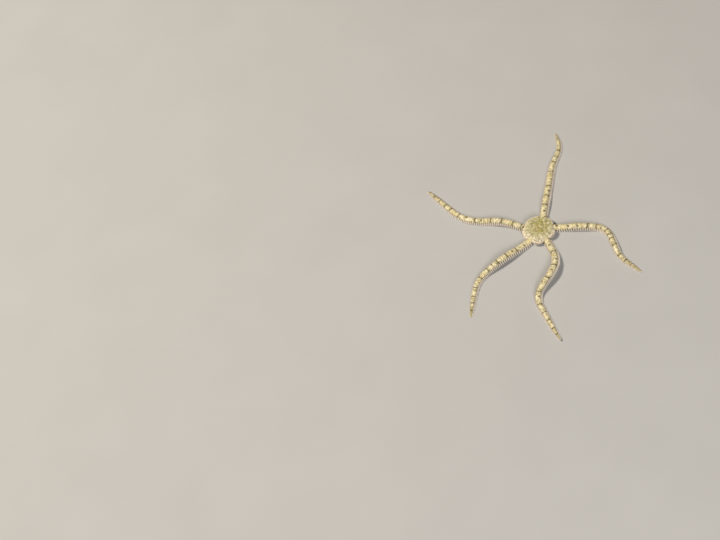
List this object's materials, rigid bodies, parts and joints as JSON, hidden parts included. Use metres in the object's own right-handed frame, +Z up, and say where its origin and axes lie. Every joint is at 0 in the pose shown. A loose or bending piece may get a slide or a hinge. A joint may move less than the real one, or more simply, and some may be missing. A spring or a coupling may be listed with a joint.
{
  "type": "brittle star",
  "caption": "Life-size brittle star at rest: a small lobed disc with long, thin, jointed and banded arms that wind over the ground, edged with short blunt spines.",
  "frame": {"origin": "on the ground under the middle of the whole spread animal; the disc's middle is at about x 5.8 mm, y 5.7 mm", "axes": "+Z up from the ground, +Y away from the viewer of the picture, +X to the right as the picture shows it"},
  "size_m": [0.1403, 0.1883, 0.0068],
  "materials": {
    "arm": "matte cream limestone-like plates with dark olive bands",
    "disc": "matte, finely granular, olive yellow to grey pink",
    "jaw": "satin pale bone-like plates"
  },
  "bodies": {
    "root": {"arm_back_base": "arm", "arm_back_inner": "arm", "arm_back_outer": "arm", "arm_back_tip": "arm", "arm_front_base": "arm", "arm_front_inner": "arm", "arm_front_left_base": "arm", "arm_front_left_inner": "arm", "arm_front_left_outer": "arm", "arm_front_left_tip": "arm", "arm_front_outer": "arm", "arm_front_tip": "arm", "arm_left_base": "arm", "arm_left_inner": "arm", "arm_left_outer": "arm", "arm_left_tip": "arm", "arm_right_base": "arm", "arm_right_inner": "arm", "arm_right_outer": "arm", "arm_right_tip": "arm", "disc": "disc", "jaw_1": "jaw", "jaw_2": "jaw", "jaw_3": "jaw", "jaw_4": "jaw", "jaw_5": "jaw"}
  },
  "joints": []
}
